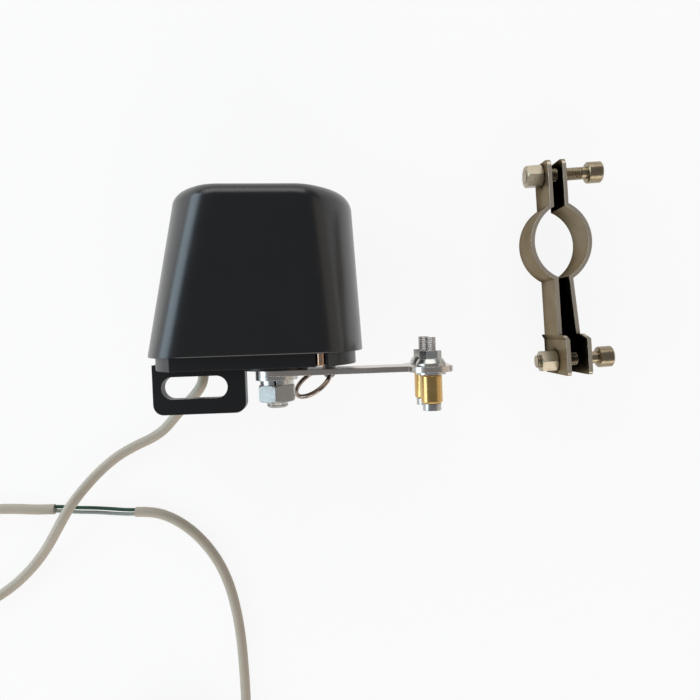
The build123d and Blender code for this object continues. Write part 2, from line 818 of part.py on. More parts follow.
eye = Vector(pin_spot[0], base_y - eye_drop, shaft_z - pin_spot[1])
ring_away = Vector(-cos(radians(ring_dip)), -sin(radians(ring_dip)), 0)
ring_down = Vector(sin(radians(ring_dip)), -cos(radians(ring_dip)), 0)
ring_side = Vector(0, 0, 1) * cos(radians(ring_twist)) + ring_down * sin(radians(ring_twist))
ring_path_plane = Plane(origin=eye + ring_away * ring_radius, x_dir=ring_away, z_dir=ring_away.cross(ring_side))
with BuildPart() as pull_ring:
    with BuildSketch(Plane(origin=ring_path_plane.origin, x_dir=ring_away, z_dir=ring_path_plane.y_dir)):
        with Locations((ring_radius, 0)):
            Circle(ring_wire)
    revolve(axis=Axis(ring_path_plane.origin, ring_path_plane.z_dir), revolution_arc=360)
finish(pull_ring, "pull_ring")

# Pipe clamp: two stamped strips standing on edge beside the actuator, drawn together by two bolts
turn = radians(clamp_turn)
clamp_out = Vector(cos(turn), sin(turn), 0)
clamp_middle = Vector(clamp_x, base_y + clamp_height, 0)
clamp_edge = Plane(origin=clamp_middle, x_dir=clamp_out, z_dir=(0, 0, 1))


def clamp_side(out):
    """Plane square to the clamp's bolts at a distance outwards; its x is Z and its y runs up the clamp."""
    return Plane(origin=clamp_middle + clamp_out * out, x_dir=(0, 0, 1), z_dir=-clamp_out)


def clamp_half(name, side, leg_face, foot_face):
    """One stamped half: ear, half ring, leg and wide foot, seen edge on and then cut to width."""
    ear_face = side * ear_gap / 2
    ring_centre = (side * (ring_half_width - ring_outer), 0)
    thick = side * strip_thick
    leg_top = -sqrt((ring_outer - strip_thick) ** 2 - (ear_face - ring_centre[0]) ** 2)
    with BuildPart() as half:
        with BuildSketch(clamp_edge):
            with Locations(ring_centre):
                Circle(ring_outer)
                Circle(ring_outer - strip_thick, mode=Mode.SUBTRACT)
            with Locations((ear_face + side * ring_outer, 0)):
                Rectangle(2 * ring_outer, 2 * ring_outer, mode=Mode.INTERSECT)
            with Locations((ear_face + thick / 2, (ear_top - leg_top) / 2)):
                Rectangle(strip_thick, ear_top + leg_top)
            Polygon(
                (ear_face, leg_top), (leg_face, leg_bottom), (foot_face, plate_start), (foot_face, plate_bottom),
                (foot_face + thick, plate_bottom), (foot_face + thick, plate_start),
                (leg_face + thick, leg_bottom), (ear_face + thick, leg_top),
                align=None,
            )
        extrude(amount=plate_width)
        with BuildSketch(clamp_side(0)):
            with Locations((plate_width / 2, (ear_top + plate_bottom) / 2)):
                RectangleRounded(strip_width, ear_top - plate_bottom, strip_corner)
            with Locations((plate_width / 2, (leg_bottom + plate_bottom) / 2)):
                RectangleRounded(plate_width, leg_bottom - plate_bottom, plate_corner)
            with Locations((plate_width / 2, top_bolt_height), (plate_width / 2, low_bolt_height)):
                Circle(clamp_bolt_radius + clamp_bolt_play, mode=Mode.SUBTRACT)
        extrude(amount=2 * ring_outer, both=True, mode=Mode.INTERSECT)
    finish(half, name)


clamp_half("clamp_half_left", -1, -ear_gap / 2, left_plate_face)
clamp_half("clamp_half_right", 1, right_leg_face, right_plate_face)

bolt_spots = ((plate_width / 2, top_bolt_height), (plate_width / 2, low_bolt_height))
head_end = clamp_head_start + clamp_head_height
with BuildPart() as clamp_bolts:
    with BuildSketch(clamp_side(head_end)):
        with Locations(*bolt_spots):
            Circle(clamp_head_radius)
    extrude(amount=clamp_head_height)
    chamfer(clamp_bolts.edges().filter_by(GeomType.CIRCLE), length=0.5)
    with BuildSketch(clamp_side(clamp_head_start)):
        with Locations(*bolt_spots):
            Circle(clamp_bolt_radius)
    extrude(amount=clamp_head_start - clamp_bolt_start)
    with BuildSketch(clamp_side(head_end)):
        with Locations(*bolt_spots):
            RegularPolygon(clamp_socket / 2, 6, major_radius=False)
    extrude(amount=clamp_socket_depth, mode=Mode.SUBTRACT)
finish(clamp_bolts, "clamp_bolts")

for nut_name, nut_face, nut_spot in (
    ("clamp_top_nut", -ear_gap / 2 - strip_thick, bolt_spots[0]),
    ("clamp_low_nut", left_plate_face - strip_thick, bolt_spots[1]),
):
    facing = clamp_side(nut_face)
    hex_nut(nut_name, Plane(origin=facing.from_local_coords((nut_spot[0], nut_spot[1], 0)), x_dir=facing.x_dir,
                            z_dir=facing.z_dir), clamp_nut_across_flats, clamp_nut_height, clamp_bolt_radius)


# Lead: straight runs joined by arcs as large as the runs allow, and a put-away coil
def run_radii(points):
    """Radius at each corner of a route, as large as its two runs allow."""
    radii = []
    for before, here, after in zip(points, points[1:], points[2:]):
        arriving, leaving = Vector(*here) - Vector(*before), Vector(*after) - Vector(*here)
        turned = radians(arriving.get_angle(leaving))
        radii.append(0.45 * min(arriving.length, leaving.length) / tan(turned / 2))
    return radii


def tube(name, points, radius):
    """Round tube along a route of points, written out with its least bend printed."""
    radii = run_radii(points)
    with BuildPart() as piece:
        with BuildLine() as route:
            FilletPolyline(*points, radius=radii)
        path = route.wire()
        with BuildSketch(Plane(origin=points[0], z_dir=path % 0)):
            Circle(radius)
        sweep(path=path)
    finish(piece, name)
    length = path.length
    share = piece.part.volume / (pi * radius ** 2 * length)
    print(name, "length", round(length, 1), "volume share", round(share, 4), "radii", [round(r, 1) for r in radii])


gland_exit = (gland_spot[0], base_y - gland_drop, shaft_z - gland_spot[1])
cord_points = (
    gland_exit, (-31.0, -35.9, 12.0), (-33.6, -40.4, 10.9), (-37.9, -44.6, 8.8), (-42.3, -48.6, 6.6),
    (-46.2, -52.7, 4.6), (-50.2, -56.9, 3.2), (-55.4, -60.3, 2.5), (-62.4, -63.2, 2.2), (-70.2, -67.2, 2.3),
    (-77.4, -72.8, 3.0), (-83.6, -79.3, 5.0), (-88.6, -85.7, 7.6), (-92.4, -91.7, 7.9), (-96.6, -98.2, 6.2),
    (-101.8, -105.6, 3.4), (-108.6, -113.8, 2.3), (-117.6, -121.8, 2.2), (-128.6, -128.2, 2.2),
    (-141.0, -130.2, 2.2), (-152.0, -124.8, 2.2), (-157.8, -113.8, 2.2), (-155.8, -101.6, 2.2),
    (-147.2, -92.8, 2.2), (-135.6, -88.8, 2.2), (-123.8, -87.9, 2.2), (-113.4, -88.2, 2.2), (-105.2, -89.0, 2.1),
    (-97.9, -89.0, 2.1),
)
tail_points = (
    (-64.0, -91.6, 2.1), (-57.2, -91.6, 2.1), (-49.2, -94.4, 2.1), (-41.6, -99.6, 2.1), (-35.0, -106.6, 2.1),
    (-29.6, -115.0, 2.1), (-25.8, -124.6, 2.1), (-23.4, -135.2, 2.2), (-21.9, -146.6, 2.3),
    (-21.2, -159.4, 2.4), (-20.9, -172.6, 2.5), (-21.0, -184.6, 2.6),
)

# Coil: turns spiral in along the bench, climb a layer in half a turn and spiral out again
stations_per_turn = 4
layer_stations = round(coil_turns * stations_per_turn)
inner_radius = coil_mean - coil_pitch * coil_turns / 2


def coil_station(index):
    """Point and direction of the coil at a quarter turn station, wound clockwise from above."""
    from_turning = index - layer_stations - 1
    angle = -radians(90 * index)
    radius = inner_radius + coil_pitch * abs(from_turning) / stations_per_turn
    climb = min(max((from_turning + 1) / 2, 0), 1)
    height = cord_radius + coil_lift + coil_pitch * climb
    spread = coil_pitch / (2 * pi) * ((from_turning > 0) - (from_turning < 0))
    rise = coil_pitch / pi if from_turning == 0 else 0
    point = Vector(coil_centre[0] + radius * cos(angle), coil_centre[1] + radius * sin(angle), height)
    heading = Vector(
        spread * cos(angle) + radius * sin(angle),
        spread * sin(angle) - radius * cos(angle),
        rise,
    )
    return point, heading.normalized()


stations = [coil_station(index) for index in range(2 * layer_stations + 2)]
lead_in = 2 * cord_radius
coil_start = stations[0][0] - stations[0][1] * lead_in
coil_end = stations[-1][0] + stations[-1][1] * plug_run
with BuildPart() as cord_coil:
    with BuildLine() as coil_path:
        Line(coil_start, stations[0][0])
        for (start, heading), (end, end_heading) in zip(stations, stations[1:]):
            span = end - start
            headings = heading + end_heading
            along = span.dot(headings)
            square = 4 - headings.dot(headings)
            reach = (sqrt(along ** 2 + square * span.dot(span)) - along) / square
            near, far = start + heading * reach, end - end_heading * reach
            joint = (near + far) * 0.5
            TangentArc(start, joint, tangent=heading)
            TangentArc(joint, end, tangent=far - near)
        Line(stations[-1][0], coil_end)
    with BuildSketch(Plane(origin=coil_start, z_dir=stations[0][1])):
        RegularPolygon(cord_radius, 8)
    coil_wire = coil_path.wire()
    sweep(path=coil_wire)
finish(cord_coil, "cord_coil")

coil_length = coil_wire.length
samples = [coil_wire @ (step / 600) for step in range(601)]
spacing = coil_length / 600
least = min(
    (samples[one] - samples[two]).length
    for one in range(601)
    for two in range(one + round(6 * coil_mean / 2 / spacing), 601)
)
section = 2 * sqrt(2) * cord_radius ** 2
print("cord_coil length", round(coil_length, 1), "least gap", round(least - 2 * cord_radius, 2),
      "volume share", round(cord_coil.part.volume / (section * coil_length), 4))

tube("cord_main", cord_points, cord_radius)
tail_end = coil_start - stations[0][1] * 2 * lead_in
tube("cord_tail", tail_points + (tuple(tail_end), tuple(coil_start)), cord_radius)
tube("core_green", (
    (-97.9, -89.0 + core_spacing, 1.7), (-94.9, -89.0 + core_spacing, 1.7), (-89.6, -88.9, 1.4), (-81.6, -89.4, 0.95),
    (-73.6, -90.2, 0.95), (-67.2, -91.6 + core_spacing, 1.7), (-64.0, -91.6 + core_spacing, 1.7),
), core_radius)
tube("core_white", (
    (-97.9, -89.0 - core_spacing, 1.7), (-94.7, -89.0 - core_spacing, 1.7), (-89.2, -90.9, 1.3), (-81.2, -91.3, 0.95),
    (-73.2, -92.2, 0.95), (-67.4, -91.6 - core_spacing, 1.7), (-64.0, -91.6 - core_spacing, 1.7),
), core_radius)

# Strap round the coil, and the barrel plug that ends the lead
strap_direction = radians(60)
strap_low = inner_radius - cord_radius - 0.4
strap_high = inner_radius + coil_pitch * (layer_stations + 1) / stations_per_turn + cord_radius + 0.4
strap_top = coil_lift + 2 * cord_radius + coil_pitch + 0.3 + tie_thick
strap_plane = Plane(
    origin=(coil_centre[0], coil_centre[1], 0),
    x_dir=(cos(strap_direction), sin(strap_direction), 0),
    z_dir=(sin(strap_direction), -cos(strap_direction), 0),
)
with BuildPart() as cord_tie:
    with BuildSketch(strap_plane):
        with Locations(((strap_low + strap_high) / 2, strap_top / 2)):
            RectangleRounded(strap_high - strap_low + 2 * tie_thick, strap_top, 2.0)
            RectangleRounded(strap_high - strap_low, strap_top - 2 * tie_thick, 1.5, mode=Mode.SUBTRACT)
    extrude(amount=tie_width / 2, both=True)
finish(cord_tie, "cord_tie")


def plug_plane(along):
    """Plane square to the plug at a distance from the face where the lead enters it."""
    return Plane(origin=coil_end + stations[-1][1] * along, z_dir=stations[-1][1])


with BuildPart() as barrel_plug:
    with BuildSketch(plug_plane(0)):
        Circle(plug_radius)
    extrude(amount=plug_length)
    chamfer(barrel_plug.edges().filter_by(GeomType.CIRCLE).sort_by(SortBy.LENGTH)[-2:], length=1.2)
    with BuildSketch(plug_plane(plug_length)):
        Circle(plug_barrel_radius)
    extrude(amount=plug_barrel_length)
    with BuildSketch(plug_plane(plug_length)):
        Circle(plug_bore_radius)
    extrude(amount=plug_barrel_length, mode=Mode.SUBTRACT)
finish(barrel_plug, "barrel_plug")
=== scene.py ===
"""Ball valve actuator lying on a pale table, with its lead and a loose pipe clamp beside it."""

from __future__ import annotations

import json
import logging
import math
from dataclasses import dataclass
from enum import Enum
from typing import Sequence

import bmesh
import bpy
from mathutils import Matrix, Vector

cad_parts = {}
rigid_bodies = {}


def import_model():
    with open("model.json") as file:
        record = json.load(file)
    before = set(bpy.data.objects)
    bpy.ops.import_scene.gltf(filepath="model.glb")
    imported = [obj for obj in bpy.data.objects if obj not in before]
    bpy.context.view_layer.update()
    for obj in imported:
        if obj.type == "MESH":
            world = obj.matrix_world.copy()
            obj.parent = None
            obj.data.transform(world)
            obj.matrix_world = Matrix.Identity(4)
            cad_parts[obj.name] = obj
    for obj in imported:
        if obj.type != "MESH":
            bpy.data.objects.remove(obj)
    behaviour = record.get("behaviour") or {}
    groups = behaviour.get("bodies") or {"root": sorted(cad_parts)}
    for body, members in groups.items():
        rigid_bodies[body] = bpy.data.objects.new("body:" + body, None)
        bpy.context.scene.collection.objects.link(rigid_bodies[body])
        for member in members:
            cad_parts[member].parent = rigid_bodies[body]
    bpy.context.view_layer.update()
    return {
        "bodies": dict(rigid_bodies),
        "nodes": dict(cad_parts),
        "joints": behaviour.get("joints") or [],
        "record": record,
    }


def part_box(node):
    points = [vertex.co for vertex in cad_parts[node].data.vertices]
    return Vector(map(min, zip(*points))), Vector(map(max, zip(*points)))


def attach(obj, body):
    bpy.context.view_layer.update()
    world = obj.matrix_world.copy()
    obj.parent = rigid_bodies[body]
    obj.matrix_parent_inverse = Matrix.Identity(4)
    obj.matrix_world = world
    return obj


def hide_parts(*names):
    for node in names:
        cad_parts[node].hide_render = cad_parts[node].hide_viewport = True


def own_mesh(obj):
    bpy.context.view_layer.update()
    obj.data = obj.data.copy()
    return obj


LOG = logging.getLogger("valve_actuator")
MM = 0.001

Point = tuple[float, float, float]
Colour = tuple[float, float, float]


class Body(Enum):
    """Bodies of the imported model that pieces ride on."""

    FRAME = "frame"
    OUTPUT = "output"


@dataclass(frozen=True)
class Finish:
    """Look of one surface, turned into a procedural material.

    Lengths are in metres and colours are linear. The two colours mix in soft patches. The grain is a fine
    bump, and its depth is a share of its size. A thread runs along one axis between two places on it.
    """

    name: str
    colour: Colour
    second: Colour
    metallic: float = 0.0
    roughness: float = 0.4
    roughness_spread: float = 0.08
    patch: float = 0.02
    grain: float = 0.0006
    grain_depth: float = 0.02
    stretch: Point = (1.0, 1.0, 1.0)
    specular: float = 0.5
    edge: float = 0.00025
    subsurface: float = 0.0
    thread_pitch: float = 0.0
    thread_axis: str = "Y"
    thread_span: tuple[float, float] = (-1.0, 1.0)
    # rim: painted highlight colour on edges that face up or down in Z.
    rim: Colour | None = None
    # shade_reach: reach of the painted shade in narrow gaps; none when 0.
    shade_reach: float = 0.0


FINISHES: dict[str, Finish] = {
    "shell": Finish("satin_black_shell", (0.0046, 0.0050, 0.0054), (0.0066, 0.0070, 0.0074), roughness=0.27,
                    roughness_spread=0.05, patch=0.03, grain=0.0006, grain_depth=0.006, specular=0.62,
                    edge=0.0),
    "tray": Finish("moulded_black", (0.0048, 0.0049, 0.0052), (0.0080, 0.0080, 0.0084), roughness=0.38,
                   grain=0.0004, grain_depth=0.03, edge=0.0004),
    "rubber": Finish("black_rubber", (0.010, 0.010, 0.011), (0.016, 0.016, 0.017), roughness=0.62,
                     grain_depth=0.05),
    "steel": Finish("plated_steel", (0.66, 0.65, 0.62), (0.50, 0.49, 0.46), metallic=1.0, roughness=0.27,
                    roughness_spread=0.10, patch=0.004, grain=0.0003, grain_depth=0.02),
    "nut": Finish("zinc_nut", (0.46, 0.46, 0.44), (0.36, 0.355, 0.33), metallic=1.0, roughness=0.44,
                  roughness_spread=0.09, patch=0.003, grain=0.0003, grain_depth=0.03, edge=0.0002),
    "stud": Finish("threaded_stud", (0.60, 0.59, 0.56), (0.46, 0.45, 0.42), metallic=1.0, roughness=0.3,
                   patch=0.004, thread_pitch=0.00125, thread_span=(-1.0, -0.0345)),
    "arm": Finish("rolled_steel", (0.68, 0.62, 0.56), (0.50, 0.44, 0.39), metallic=1.0, roughness=0.27,
                  roughness_spread=0.12, patch=0.006, grain=0.0004, grain_depth=0.03,
                  stretch=(0.08, 1.0, 1.0)),
    "bolt": Finish("bolt_steel", (0.58, 0.57, 0.55), (0.40, 0.38, 0.36), metallic=1.0, roughness=0.3,
                   patch=0.003, thread_pitch=0.0007, thread_span=(-0.0264, 1.0)),
    "brass": Finish("turned_brass", (0.70, 0.47, 0.19), (0.52, 0.32, 0.11), metallic=1.0, roughness=0.24,
                    patch=0.004, grain=0.00025, grain_depth=0.04, stretch=(0.1, 1.0, 0.1)),
    "copper": Finish("stop_brass", (0.62, 0.42, 0.29), (0.46, 0.29, 0.19), metallic=1.0, roughness=0.3,
                     patch=0.003),
    "bronze": Finish("oiled_bronze", (0.42, 0.27, 0.13), (0.30, 0.19, 0.09), metallic=1.0, roughness=0.35),
    # Satin nickel strips: the rim colour is a painted highlight on their sheared edges.
    "nickel": Finish("satin_nickel", (0.40, 0.35, 0.275), (0.29, 0.25, 0.19), metallic=1.0, roughness=0.36,
                     roughness_spread=0.08, patch=0.008, grain=0.00035, grain_depth=0.04,
                     stretch=(1.0, 0.15, 1.0), edge=0.0003, rim=(0.74, 0.64, 0.50),
                     # shade_reach paints shade into the gaps between the strips.
                     shade_reach=0.016),
    "clamp_bolt": Finish("nickel_bolt", (0.40, 0.33, 0.22), (0.24, 0.19, 0.12), metallic=1.0, roughness=0.28,
                         patch=0.003, edge=0.0003, thread_pitch=0.0008, thread_axis="X",
                         thread_span=(0.104, 0.124)),
    "clamp_nut": Finish("nickel_nut", (0.46, 0.41, 0.32), (0.27, 0.23, 0.16), metallic=1.0, roughness=0.34,
                        patch=0.002, grain=0.0004, grain_depth=0.05, edge=0.0003),
    "ring": Finish("polished_wire", (0.44, 0.36, 0.31), (0.26, 0.20, 0.17), metallic=1.0, roughness=0.16,
                   patch=0.003),
    "acetal": Finish("acetal", (0.74, 0.70, 0.60), (0.66, 0.62, 0.52), roughness=0.42, subsurface=0.05),
    "can": Finish("drawn_can", (0.52, 0.53, 0.54), (0.42, 0.43, 0.44), metallic=1.0, roughness=0.3,
                  stretch=(1.0, 0.1, 1.0)),
    "board": Finish("solder_mask", (0.012, 0.11, 0.045), (0.016, 0.15, 0.06), roughness=0.3, patch=0.003),
    "relay": Finish("relay_case", (0.02, 0.07, 0.26), (0.03, 0.09, 0.30), roughness=0.35),
    "connector": Finish("connector_nylon", (0.75, 0.74, 0.68), (0.68, 0.66, 0.60), roughness=0.4),
    "sheath": Finish("lead_sheath", (0.56, 0.50, 0.405), (0.47, 0.41, 0.32), roughness=0.44, patch=0.012,
                     grain=0.0005, grain_depth=0.04, specular=0.45, subsurface=0.08, edge=0.0),
    "core_green": Finish("core_green", (0.010, 0.055, 0.030), (0.018, 0.085, 0.048), roughness=0.36,
                         edge=0.0),
    "core_white": Finish("core_white", (0.36, 0.40, 0.36), (0.28, 0.32, 0.29), roughness=0.38, edge=0.0),
    "tie": Finish("black_strap", (0.012, 0.012, 0.013), (0.02, 0.02, 0.021), roughness=0.45),
}

NODE_FINISHES: dict[str, tuple[str, ...]] = {
    "tray": ("base_tray", "cord_gland", "motor_cap", "open_switch", "closed_switch", "capacitor",
             "barrel_plug"),
    "rubber": ("gasket", "shaft_seal"),
    "steel": ("housing_screws", "stud_washer", "spring_washer", "stud_nut", "fork_lower_washers",
              "fork_upper_washers", "fork_nuts", "output_gear", "clutch_gear", "gear_axles", "plate_pillars",
              "gear_plate", "plate_screws", "motor_shaft", "open_switch_lever", "closed_switch_lever",
              "radio_module", "pull_pin", "clutch_yoke", "clutch_spring"),
    "stud": ("output_shaft",),
    "arm": ("lever_arm",),
    "bolt": ("fork_bolts",),
    "brass": ("front_roller", "rear_roller", "motor_pinion"),
    "copper": ("stop_post",),
    "bronze": ("shaft_bush",),
    "nickel": ("clamp_half_left", "clamp_half_right"),
    "clamp_bolt": ("clamp_bolts",),
    "clamp_nut": ("clamp_top_nut", "clamp_low_nut"),
    "ring": ("pull_ring",),
    "acetal": ("idler_gear", "limit_cam"),
    "can": ("motor_can",),
    "board": ("control_board",),
    "relay": ("relay",),
    "connector": ("wire_connector",),
    "shell": ("housing_shell",),
    "sheath": ("cord_main", "cord_tail", "cord_coil"),
    "core_green": ("core_green",),
    "core_white": ("core_white",),
    "tie": ("cord_tie",),
}


class MaterialShop:
    """Makes and keeps one procedural material for each finish."""

    PATCH_DETAIL = 4.0
    SHEEN_SHARE, SHEEN_DETAIL = 0.35, 3.0
    GRAIN_DETAIL = 2.0
    LEAST_ROUGHNESS = 0.04
    SCATTER_DEPTH = 0.002
    # Painted edge highlight starts where the normal is this upright.
    EDGE_HIGHLIGHT_FROM = 0.75
    # Painted gap shade: occlusion samples, the levels where it is full and where it ends, and its dark
    # colour.
    GAP_SAMPLES, GAP_SHUT, GAP_OPEN = 8, 0.42, 0.78
    PAINTED_SHADE: Colour = (0.02, 0.015, 0.01)
    WAVE_FACTOR = 20.0
    RIDGE_SHARE = 0.3

    def __init__(self) -> None:
        """Start with nothing made."""
        self._made: dict[str, bpy.types.Material] = {}

    def get(self, key: str) -> bpy.types.Material:
        """Give the material of a finish, made on first use.

        Args:
            key: Name in FINISHES.

        Returns:
            The material.
        """
        if key not in self._made:
            self._made[key] = self._build(FINISHES[key])
        return self._made[key]

    @staticmethod
    def _noise(tree: bpy.types.NodeTree, source: bpy.types.NodeSocket, size: float,
               detail: float) -> bpy.types.Node:
        """Add a noise texture.

        Args:
            tree: Node tree of the material.
            source: Coordinates that it reads.
            size: Size of its features in metres.
            detail: How many finer layers it has.

        Returns:
            The noise node.
        """
        noise = tree.nodes.new("ShaderNodeTexNoise")
        noise.inputs["Scale"].default_value = 1.0 / size
        noise.inputs["Detail"].default_value = detail
        tree.links.new(source, noise.inputs["Vector"])
        return noise

    def _build(self, finish: Finish) -> bpy.types.Material:
        """Build the node tree of one finish.

        Args:
            finish: Look to build.

        Returns:
            The new material.
        """
        material = bpy.data.materials.new(finish.name)
        material.use_nodes = True
        tree = material.node_tree
        shader = tree.nodes["Principled BSDF"]
        shader.inputs["Metallic"].default_value = finish.metallic
        shader.inputs["Specular IOR Level"].default_value = finish.specular
        shader.inputs["Subsurface Weight"].default_value = finish.subsurface
        shader.inputs["Subsurface Scale"].default_value = self.SCATTER_DEPTH
        place = tree.nodes.new("ShaderNodeTexCoord").outputs["Object"]
        stretched = tree.nodes.new("ShaderNodeMapping")
        stretched.inputs["Scale"].default_value = finish.stretch
        tree.links.new(place, stretched.inputs["Vector"])

        patches = self._noise(tree, place, finish.patch, self.PATCH_DETAIL)
        colours = tree.nodes.new("ShaderNodeMix")
        colours.data_type = "RGBA"
        colours.inputs["A"].default_value = (*finish.colour, 1.0)
        colours.inputs["B"].default_value = (*finish.second, 1.0)
        tree.links.new(patches.outputs["Fac"], colours.inputs["Factor"])
        shown = colours.outputs["Result"]
        # Painted highlight on the edges that face up or down in Z.
        if finish.rim:
            shown = self._paint_edge_highlight(tree, shown, finish.rim)
        # Painted shade in the narrow gaps; the colour with its painted highlight and shade also tints the
        # reflections.
        if finish.shade_reach:
            shown = self._paint_gap_shade(tree, shown, finish.shade_reach)
            tree.links.new(shown, shader.inputs["Specular Tint"])
        tree.links.new(shown, shader.inputs["Base Color"])

        sheen = self._noise(tree, stretched.outputs["Vector"], finish.patch * self.SHEEN_SHARE,
                            self.SHEEN_DETAIL)
        spread = tree.nodes.new("ShaderNodeMapRange")
        spread.inputs["To Min"].default_value = max(finish.roughness - finish.roughness_spread,
                                                    self.LEAST_ROUGHNESS)
        spread.inputs["To Max"].default_value = finish.roughness + finish.roughness_spread
        tree.links.new(sheen.outputs["Fac"], spread.inputs["Value"])
        tree.links.new(spread.outputs["Result"], shader.inputs["Roughness"])

        grain = self._noise(tree, stretched.outputs["Vector"], finish.grain, self.GRAIN_DETAIL)
        bump = tree.nodes.new("ShaderNodeBump")
        bump.inputs["Strength"].default_value = 1.0
        bump.inputs["Distance"].default_value = finish.grain * finish.grain_depth
        tree.links.new(grain.outputs["Fac"], bump.inputs["Height"])
        if finish.edge:
            rounded = tree.nodes.new("ShaderNodeBevel")
            rounded.inputs["Radius"].default_value = finish.edge
            tree.links.new(rounded.outputs["Normal"], bump.inputs["Normal"])
        last = self._thread(tree, place, bump, finish) if finish.thread_pitch else bump
        tree.links.new(last.outputs["Normal"], shader.inputs["Normal"])
        return material

    def _paint_edge_highlight(self, tree: bpy.types.NodeTree, under: bpy.types.NodeSocket,
             rim: Colour) -> bpy.types.NodeSocket:
        """Paint a highlight on the sheared edges of a strip, which face up or down in Z: a lighter colour in
        place of the light they catch.

        Args:
            tree: Node tree of the material.
            under: Colour of the rest.
            rim: Painted highlight colour of the edges.

        Returns:
            Socket with both colours.
        """
        split = tree.nodes.new("ShaderNodeSeparateXYZ")
        tree.links.new(tree.nodes.new("ShaderNodeTexCoord").outputs["Normal"], split.inputs["Vector"])
        upright = tree.nodes.new("ShaderNodeMath")
        upright.operation = "ABSOLUTE"
        tree.links.new(split.outputs["Z"], upright.inputs[0])
        mask = tree.nodes.new("ShaderNodeMapRange")
        mask.inputs["From Min"].default_value = self.EDGE_HIGHLIGHT_FROM
        tree.links.new(upright.outputs["Value"], mask.inputs["Value"])
        lighter = tree.nodes.new("ShaderNodeMix")
        lighter.data_type = "RGBA"
        lighter.inputs["B"].default_value = (*rim, 1.0)
        tree.links.new(mask.outputs["Result"], lighter.inputs["Factor"])
        tree.links.new(under, lighter.inputs["A"])
        return lighter.outputs["Result"]

    def _paint_gap_shade(self, tree: bpy.types.NodeTree, under: bpy.types.NodeSocket,
                  reach: float) -> bpy.types.NodeSocket:
        """Paint shade into the narrow gaps: the colour darkens where ambient occlusion finds a facing surface
        near.

        Args:
            tree: Node tree of the material.
            under: Colour in the open.
            reach: How near a facing surface counts, in metres.

        Returns:
            Socket with the colour darkened by painted shade.
        """
        shut = tree.nodes.new("ShaderNodeAmbientOcclusion")
        shut.samples = self.GAP_SAMPLES
        shut.inputs["Distance"].default_value = reach
        spread = tree.nodes.new("ShaderNodeMapRange")
        spread.inputs["From Min"].default_value = self.GAP_SHUT
        spread.inputs["From Max"].default_value = self.GAP_OPEN
        tree.links.new(shut.outputs["AO"], spread.inputs["Value"])
        darker = tree.nodes.new("ShaderNodeMix")
        darker.data_type = "RGBA"
        darker.inputs["A"].default_value = (*self.PAINTED_SHADE, 1.0)
        tree.links.new(spread.outputs["Result"], darker.inputs["Factor"])
        tree.links.new(under, darker.inputs["B"])
        return darker.outputs["Result"]

    def _thread(self, tree: bpy.types.NodeTree, place: bpy.types.NodeSocket, under: bpy.types.Node,
                finish: Finish) -> bpy.types.Node:
        """Add a thread's ridges along one axis, between two places on it.

        Args:
            tree: Node tree of the material.
            place: Object coordinates.
            under: Bump node whose relief the thread adds to.
            finish: Look that holds the thread's pitch, axis and span.

        Returns:
            Bump node with both reliefs.
        """
        wave = tree.nodes.new("ShaderNodeTexWave")
        wave.bands_direction = finish.thread_axis
        wave.inputs["Scale"].default_value = 2.0 * math.pi / (self.WAVE_FACTOR * finish.thread_pitch)
        tree.links.new(place, wave.inputs["Vector"])
        split = tree.nodes.new("ShaderNodeSeparateXYZ")
        tree.links.new(place, split.inputs["Vector"])
        inside = []
        for operation, limit in zip(("GREATER_THAN", "LESS_THAN"), finish.thread_span):
            test = tree.nodes.new("ShaderNodeMath")
            test.operation = operation
            test.inputs[1].default_value = limit
            tree.links.new(split.outputs[finish.thread_axis], test.inputs[0])
            inside.append(test)
        both = tree.nodes.new("ShaderNodeMath")
        both.operation = "MULTIPLY"
        for test, socket in zip(inside, both.inputs):
            tree.links.new(test.outputs["Value"], socket)
        ridges = tree.nodes.new("ShaderNodeBump")
        ridges.inputs["Distance"].default_value = finish.thread_pitch * self.RIDGE_SHARE
        tree.links.new(both.outputs["Value"], ridges.inputs["Strength"])
        tree.links.new(wave.outputs["Fac"], ridges.inputs["Height"])
        tree.links.new(under.outputs["Normal"], ridges.inputs["Normal"])
        return ridges


class Piece:
    """Mesh piece built with bmesh and placed in the shared frame."""

    def __init__(self, name: str, shop: MaterialShop) -> None:
        """Keep the piece's name and the material shop.

        Args:
            name: Object name.
            shop: Source of materials.
        """
        self.name = name
        self.shop = shop
        self.mesh = bmesh.new()

    def rings(self, outlines: Sequence[Sequence[Point]], closed_ends: bool, loop: bool = False) -> None:
        """Bridge outlines with quads.

        Args:
            outlines: Rings of points with equal counts, in metres.
            closed_ends: Whether the first and last rings get a face.
            loop: Whether the last ring joins the first.
        """
        rows = [[self.mesh.verts.new(point) for point in outline] for outline in outlines]
        pairs = list(zip(rows, rows[1:])) + ([(rows[-1], rows[0])] if loop else [])
        for low, high in pairs:
            for index in range(len(low)):
                after = (index + 1) % len(low)
                self.mesh.faces.new((low[index], low[after], high[after], high[index]))
        if closed_ends:
            self.mesh.faces.new(list(reversed(rows[0])))
            self.mesh.faces.new(rows[-1])

    def build(self, finish: str, body: Body, slot: str, replaces: Sequence[str] = (),
              sharp: float = 35.0) -> bpy.types.Object:
        """Turn the bmesh into an object that rides on a body.

        Args:
            finish: Name in FINISHES.
            body: Body that it rides on.
            slot: Material slot of the record. Not used.
            replaces: CAD nodes that it stands for.
            sharp: Angle in degrees past which an edge stays sharp.

        Returns:
            The new object.
        """
        bmesh.ops.recalc_face_normals(self.mesh, faces=self.mesh.faces[:])
        for edge in self.mesh.edges:
            if len(edge.link_faces) == 2 and edge.calc_face_angle() > math.radians(sharp):
                edge.smooth = False
        for face in self.mesh.faces:
            face.smooth = True
        data = bpy.data.meshes.new(self.name)
        self.mesh.to_mesh(data)
        self.mesh.free()
        data.materials.append(self.shop.get(finish))
        piece = bpy.data.objects.new(self.name, data)
        bpy.context.scene.collection.objects.link(piece)
        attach(piece, body.value)
        if replaces:
            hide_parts(*replaces)
        return piece


